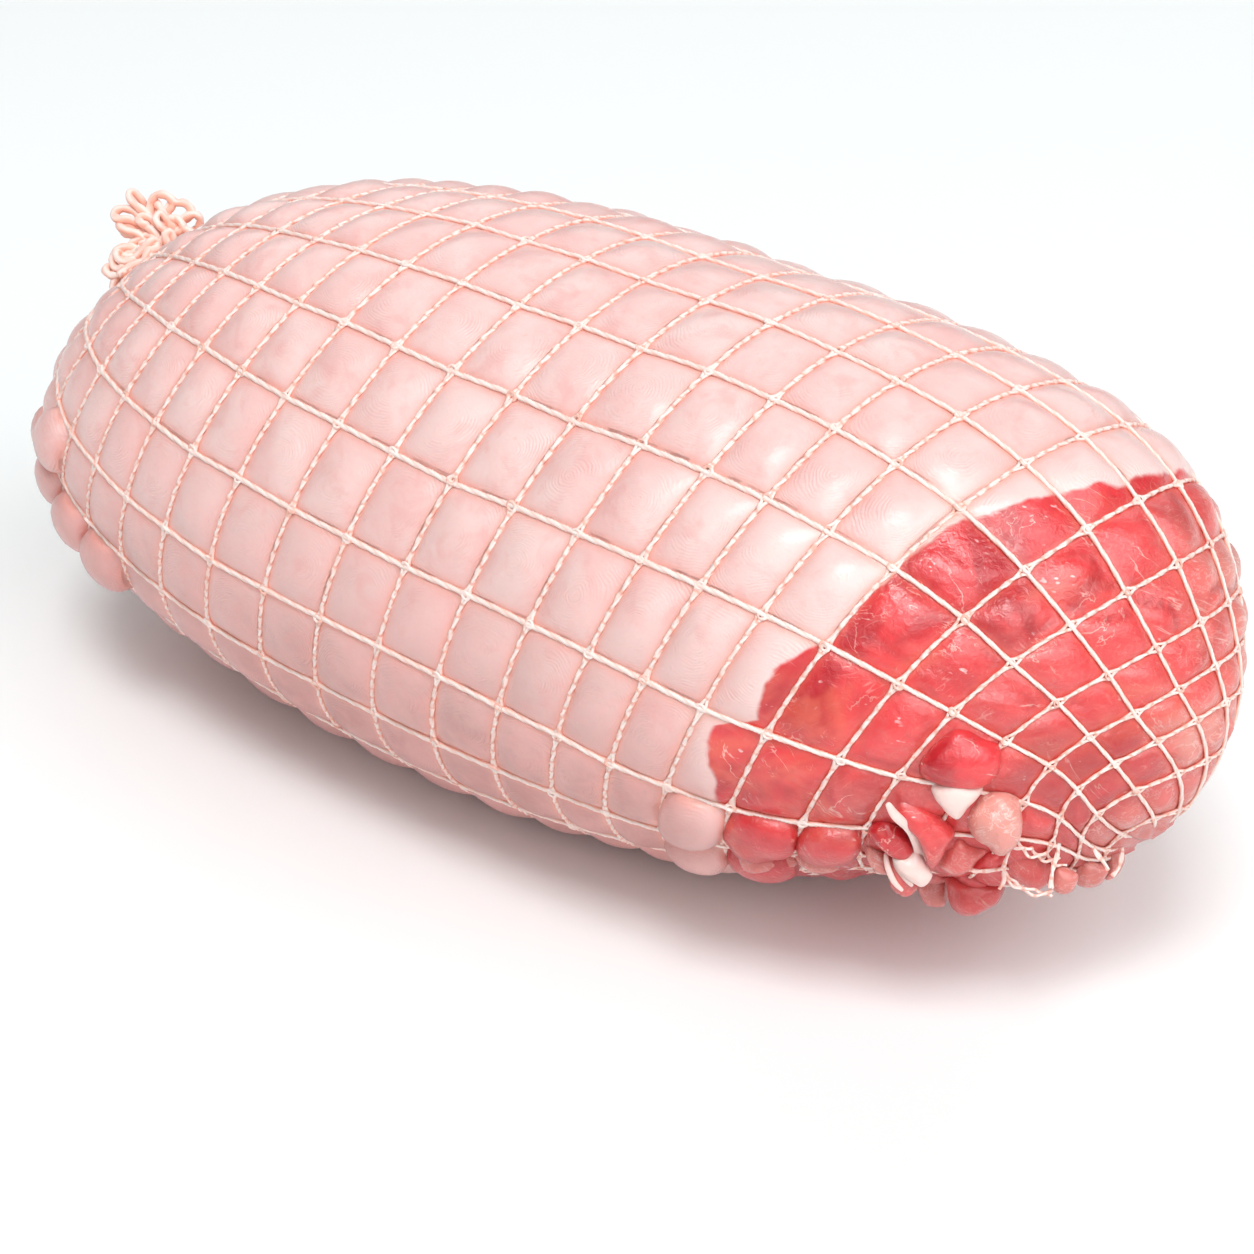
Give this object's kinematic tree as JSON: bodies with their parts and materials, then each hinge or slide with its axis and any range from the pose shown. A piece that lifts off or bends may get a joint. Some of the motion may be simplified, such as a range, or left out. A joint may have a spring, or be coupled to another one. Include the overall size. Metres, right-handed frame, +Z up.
{
  "type": "suckling pig shoulder",
  "caption": "Boned, rolled pork shoulder with pale rind and red lean end, lying on its side in tight elastic netting with a gathered cord tuft.",
  "frame": {"origin": "centre of the bounding box, on the floor", "axes": "+X along the roll from the net's tuft to the red cut end, +Z up from the floor, -Y towards the side that the picture shows"},
  "size_m": [0.2584, 0.1236, 0.1084],
  "materials": {
    "rind_and_lean": "moist raw rind and lean, soft sheen",
    "net_cord": "covered elastic cord",
    "tail_cord": "covered elastic cord"
  },
  "bodies": {
    "root": {"shoulder": "rind_and_lean", "net": "net_cord", "net_tail": "tail_cord"}
  },
  "joints": []
}
